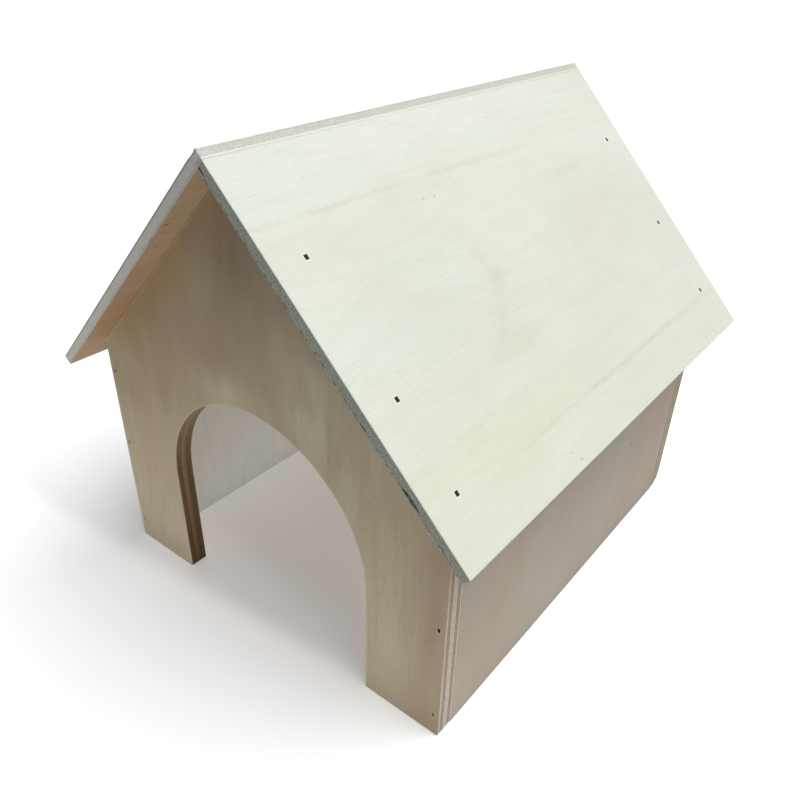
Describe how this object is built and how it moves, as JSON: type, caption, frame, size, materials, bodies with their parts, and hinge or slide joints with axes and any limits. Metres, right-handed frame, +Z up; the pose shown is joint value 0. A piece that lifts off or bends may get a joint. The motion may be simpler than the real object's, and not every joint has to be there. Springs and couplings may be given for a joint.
{
  "type": "dog house",
  "caption": "Small bare plywood dog house with a pitched roof, a round-topped doorway in the front gable, a closed back gable and no floor, held by sunk brad nails.",
  "frame": {"origin": "on the ground under the middle of the house", "axes": "+Z up, the doorway faces -Y, +X to the right as seen from the front, +Y along the ridge to the back"},
  "size_m": [0.2322, 0.256, 0.2266],
  "materials": {
    "gable_wood": "bare five-ply plywood, smooth face veneer with upright grain, ply lines showing at the edges",
    "side_wood": "bare five-ply plywood, smooth face veneer with upright grain, warm streaks under the eave",
    "roof_wood": "bare three-ply plywood, pale face veneer with grain along the ridge, rough grey end grain between white veneers",
    "nail_steel": "dull steel brads with their heads sunk under the surface"
  },
  "bodies": {
    "root": {"front_wall": "gable_wood", "back_wall": "gable_wood", "left_wall": "side_wood", "right_wall": "side_wood", "left_roof": "roof_wood", "right_roof": "roof_wood", "front_nail_left_low": "nail_steel", "front_nail_left_middle": "nail_steel", "front_nail_left_high": "nail_steel", "front_nail_right_low": "nail_steel", "front_nail_right_middle": "nail_steel", "front_nail_right_high": "nail_steel", "back_nail_left_low": "nail_steel", "back_nail_left_middle": "nail_steel", "back_nail_left_high": "nail_steel", "back_nail_right_low": "nail_steel", "back_nail_right_middle": "nail_steel", "back_nail_right_high": "nail_steel", "left_roof_nail_front_low": "nail_steel", "left_roof_nail_front_middle": "nail_steel", "left_roof_nail_front_high": "nail_steel", "left_roof_nail_back_low": "nail_steel", "left_roof_nail_back_middle": "nail_steel", "left_roof_nail_back_high": "nail_steel", "right_roof_nail_front_low": "nail_steel", "right_roof_nail_front_middle": "nail_steel", "right_roof_nail_front_high": "nail_steel", "right_roof_nail_back_low": "nail_steel", "right_roof_nail_back_middle": "nail_steel", "right_roof_nail_back_high": "nail_steel"}
  },
  "joints": []
}
